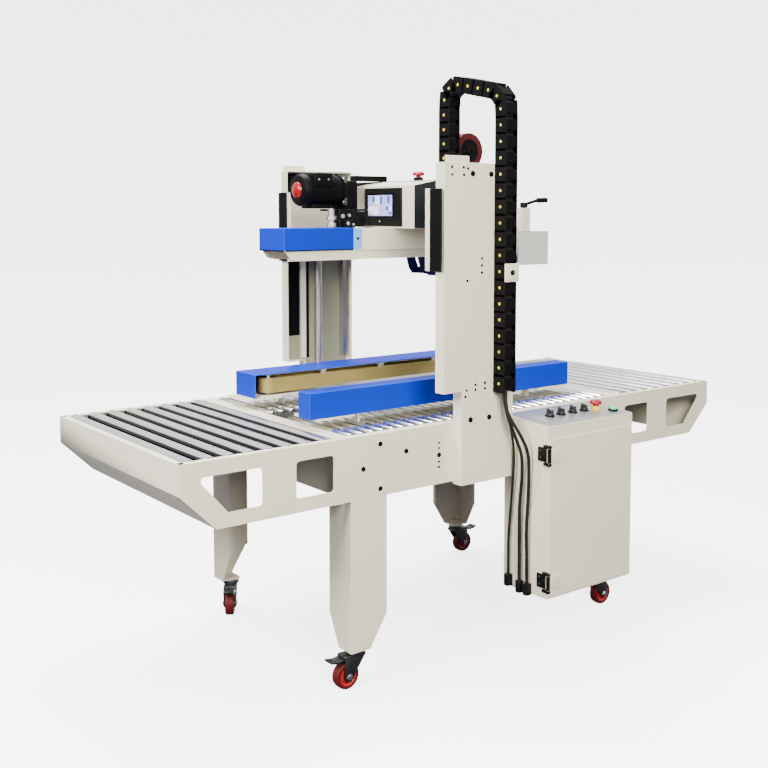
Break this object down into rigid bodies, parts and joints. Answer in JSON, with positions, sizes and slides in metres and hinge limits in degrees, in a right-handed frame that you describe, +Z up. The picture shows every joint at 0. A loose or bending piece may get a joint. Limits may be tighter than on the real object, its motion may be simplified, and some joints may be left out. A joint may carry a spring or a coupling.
{
  "type": "carton sealer machine",
  "caption": "Semi-automatic carton sealing machine: roller bed with side belt drives, lifting tape head on two columns, control cabinet and braked casters.",
  "frame": {"origin": "on the floor, under the middle of the bed's length and width", "axes": "+X is the way cartons travel, +Z is up, -Y is the operator's side with the control cabinet"},
  "size_m": [2.056, 1, 1.712],
  "materials": {
    "white_paint": "satin powder coat",
    "blue_paint": "gloss powder coat",
    "black_paint": "satin black",
    "grey_paint": "satin grey",
    "roller_steel": "bright zinc plated",
    "plain_steel": "ground steel",
    "black_plastic": "moulded",
    "red_plastic": "gloss",
    "green_plastic": "gloss",
    "screen": "glossy front",
    "belt_rubber": "matt",
    "caster_tread": "cast polyurethane",
    "cable_jacket": "matt",
    "tape": "film on a paper core"
  },
  "bodies": {
    "frame": {"near_side_panel": "white_paint", "far_side_panel": "white_paint", "infeed_table_frame": "white_paint", "outfeed_table_frame": "white_paint", "legs": "white_paint", "cross_panels": "white_paint", "bed_subframe": "plain_steel", "bed_rollers": "roller_steel", "table_rollers": "roller_steel", "near_column": "white_paint", "far_column": "white_paint", "lift_guides": "plain_steel", "lower_tape_unit": "white_paint", "control_cabinet": "white_paint", "drag_chain_fixed_run": "black_plastic", "tower_cable_outer": "cable_jacket", "tower_cable_inner": "cable_jacket", "sensor_cable": "cable_jacket", "fasteners": "black_paint"},
    "lower_roll": {"lower_tape_roll": "tape"},
    "door": {"cabinet_door": "white_paint"},
    "cabinet_stop": {"cabinet_stop_button": "red_plastic"},
    "start": {"start_button": "green_plastic"},
    "head": {"head_beam": "white_paint", "beam_covers": "blue_paint", "head_carriage": "grey_paint", "head_brackets": "black_paint", "hmi_box": "white_paint", "touch_screen": "screen", "lift_motor": "black_paint", "drag_chain_moving_run": "black_plastic"},
    "cross_shaft": {"lift_shaft": "plain_steel"},
    "chain_loop": {"drag_chain_loop": "black_plastic"},
    "head_stop": {"head_stop_button": "red_plastic"},
    "front_arm": {"front_wipe_arm": "black_paint"},
    "rear_arm": {"rear_wipe_arm": "black_paint"},
    "upper_roll": {"tape_roll": "tape"},
    "lever": {"clamp_lever": "black_plastic"},
    "near_drive": {"near_drive_frame": "white_paint", "near_drive_cover": "blue_paint", "near_drive_belt": "belt_rubber"},
    "far_drive": {"far_drive_frame": "white_paint", "far_drive_cover": "blue_paint", "far_drive_belt": "belt_rubber"},
    "knob_1": {"selector_knob_1": "black_plastic"},
    "knob_2": {"selector_knob_2": "black_plastic"},
    "knob_3": {"selector_knob_3": "black_plastic"},
    "knob_4": {"selector_knob_4": "black_plastic"},
    "near_idler": {"near_idler_pulley": "plain_steel"},
    "near_driven": {"near_drive_pulley": "plain_steel"},
    "far_idler": {"far_idler_pulley": "plain_steel"},
    "far_driven": {"far_drive_pulley": "plain_steel"},
    "fork_infeed_near": {"caster_fork_infeed_near": "black_paint"},
    "wheel_infeed_near": {"caster_wheel_infeed_near": "caster_tread"},
    "fork_outfeed_near": {"caster_fork_outfeed_near": "black_paint"},
    "wheel_outfeed_near": {"caster_wheel_outfeed_near": "caster_tread"},
    "fork_infeed_far": {"caster_fork_infeed_far": "black_paint"},
    "wheel_infeed_far": {"caster_wheel_infeed_far": "caster_tread"},
    "fork_outfeed_far": {"caster_fork_outfeed_far": "black_paint"},
    "wheel_outfeed_far": {"caster_wheel_outfeed_far": "caster_tread"}
  },
  "joints": [
    {"name": "head_lift", "type": "slide", "parent": "frame", "child": "head", "axis": [0, 0, 1], "range_m": [-0.255, 0], "deforming": ["drag_chain_fixed_run", "drag_chain_moving_run"]},
    {"name": "chain_loop_travel", "type": "slide", "parent": "head", "child": "chain_loop", "axis": [0, 0, 1], "range_m": [0, 0.1275]},
    {"name": "cross_shaft_spin", "type": "hinge", "parent": "head", "child": "cross_shaft", "pos_m": [-0.02, 0, 1.32], "axis": [0, 1, 0], "range_deg": [0, 811.69]},
    {"name": "front_arm_swing", "type": "hinge", "parent": "head", "child": "front_arm", "pos_m": [-0.005, 0, 1.195], "axis": [0, -1, 0], "range_deg": [0, 35]},
    {"name": "rear_arm_swing", "type": "hinge", "parent": "head", "child": "rear_arm", "pos_m": [0.21, 0, 1.195], "axis": [0, -1, 0], "range_deg": [0, 35]},
    {"name": "upper_roll_spin", "type": "hinge", "parent": "head", "child": "upper_roll", "pos_m": [0.213, 0, 1.497], "axis": [0, 1, 0], "continuous": true},
    {"name": "clamp_lever_turn", "type": "hinge", "parent": "head", "child": "lever", "pos_m": [0.44, -0.052, 1.318], "axis": [0, 0, 1], "range_deg": [-80, 0]},
    {"name": "head_stop_press", "type": "slide", "parent": "head", "child": "head_stop", "axis": [0, 0, -1], "range_m": [0, 0.005], "stiffness_N_per_m": 1500, "springref_m": -0.004},
    {"name": "lower_roll_spin", "type": "hinge", "parent": "frame", "child": "lower_roll", "pos_m": [-0.03, 0, 0.62], "axis": [0, 1, 0], "continuous": true},
    {"name": "cabinet_door_swing", "type": "hinge", "parent": "frame", "child": "door", "pos_m": [0.034, -0.569, 0.42], "axis": [0, 0, -1], "range_deg": [0, 110]},
    {"name": "knob_1_turn", "type": "hinge", "parent": "frame", "child": "knob_1", "pos_m": [0.132, -0.47528, 0.69688], "axis": [0, -0.0561, 0.9984], "range_deg": [-45, 45]},
    {"name": "knob_2_turn", "type": "hinge", "parent": "frame", "child": "knob_2", "pos_m": [0.18, -0.47528, 0.69688], "axis": [0, -0.0561, 0.9984], "range_deg": [-45, 45]},
    {"name": "knob_3_turn", "type": "hinge", "parent": "frame", "child": "knob_3", "pos_m": [0.231, -0.47528, 0.69688], "axis": [0, -0.0561, 0.9984], "range_deg": [-45, 45]},
    {"name": "knob_4_turn", "type": "hinge", "parent": "frame", "child": "knob_4", "pos_m": [0.281, -0.47528, 0.69688], "axis": [0, -0.0561, 0.9984], "range_deg": [-45, 45]},
    {"name": "cabinet_stop_press", "type": "slide", "parent": "frame", "child": "cabinet_stop", "axis": [0, 0.0561, -0.9984], "range_m": [0, 0.005], "stiffness_N_per_m": 1500, "springref_m": -0.004},
    {"name": "start_press", "type": "slide", "parent": "frame", "child": "start", "axis": [0, 0.0561, -0.9984], "range_m": [0, 0.004], "stiffness_N_per_m": 1000, "springref_m": -0.003},
    {"name": "near_drive_slide", "type": "slide", "parent": "frame", "child": "near_drive", "axis": [0, -1, 0], "range_m": [-0.064, 0.128]},
    {"name": "far_drive_slide", "type": "slide", "parent": "frame", "child": "far_drive", "axis": [0, 1, 0], "range_m": [-0.064, 0.128]},
    {"name": "near_driven_spin", "type": "hinge", "parent": "near_drive", "child": "near_driven", "pos_m": [0.4, -0.155, 0.766], "axis": [0, 0, 1], "continuous": true},
    {"name": "near_idler_spin", "type": "hinge", "parent": "near_drive", "child": "near_idler", "pos_m": [-0.455, -0.155, 0.766], "axis": [0, 0, 1], "continuous": true},
    {"name": "far_driven_spin", "type": "hinge", "parent": "far_drive", "child": "far_driven", "pos_m": [0.4, 0.155, 0.766], "axis": [0, 0, 1], "continuous": true},
    {"name": "far_idler_spin", "type": "hinge", "parent": "far_drive", "child": "far_idler", "pos_m": [-0.455, 0.155, 0.766], "axis": [0, 0, 1], "continuous": true},
    {"name": "swivel_infeed_near", "type": "hinge", "parent": "frame", "child": "fork_infeed_near", "pos_m": [-0.487, -0.344, 0.1], "axis": [0, 0, 1], "continuous": true},
    {"name": "roll_infeed_near", "type": "hinge", "parent": "fork_infeed_near", "child": "wheel_infeed_near", "pos_m": [-0.519, -0.344, 0.0375], "axis": [0, -1, 0], "continuous": true},
    {"name": "swivel_outfeed_near", "type": "hinge", "parent": "frame", "child": "fork_outfeed_near", "pos_m": [0.487, -0.344, 0.1], "axis": [0, 0, 1], "continuous": true},
    {"name": "roll_outfeed_near", "type": "hinge", "parent": "fork_outfeed_near", "child": "wheel_outfeed_near", "pos_m": [0.519, -0.344, 0.0375], "axis": [0, 1, 0], "continuous": true},
    {"name": "swivel_infeed_far", "type": "hinge", "parent": "frame", "child": "fork_infeed_far", "pos_m": [-0.487, 0.344, 0.1], "axis": [0, 0, 1], "continuous": true},
    {"name": "roll_infeed_far", "type": "hinge", "parent": "fork_infeed_far", "child": "wheel_infeed_far", "pos_m": [-0.50535, 0.31779, 0.0375], "axis": [0.8192, -0.5736, 0], "continuous": true},
    {"name": "swivel_outfeed_far", "type": "hinge", "parent": "frame", "child": "fork_outfeed_far", "pos_m": [0.487, 0.344, 0.1], "axis": [0, 0, 1], "continuous": true},
    {"name": "roll_outfeed_far", "type": "hinge", "parent": "fork_outfeed_far", "child": "wheel_outfeed_far", "pos_m": [0.519, 0.344, 0.0375], "axis": [0, 1, 0], "continuous": true}
  ],
  "couplings": [
    {"joint": "chain_loop_travel", "follows": "head_lift", "ratio": -0.5},
    {"joint": "cross_shaft_spin", "follows": "head_lift", "rad_per_m": -55.556},
    {"joint": "rear_arm_swing", "follows": "front_arm_swing", "ratio": 1},
    {"joint": "far_drive_slide", "follows": "near_drive_slide", "ratio": 1},
    {"joint": "near_idler_spin", "follows": "near_driven_spin", "ratio": 1},
    {"joint": "far_idler_spin", "follows": "far_driven_spin", "ratio": 1}
  ]
}
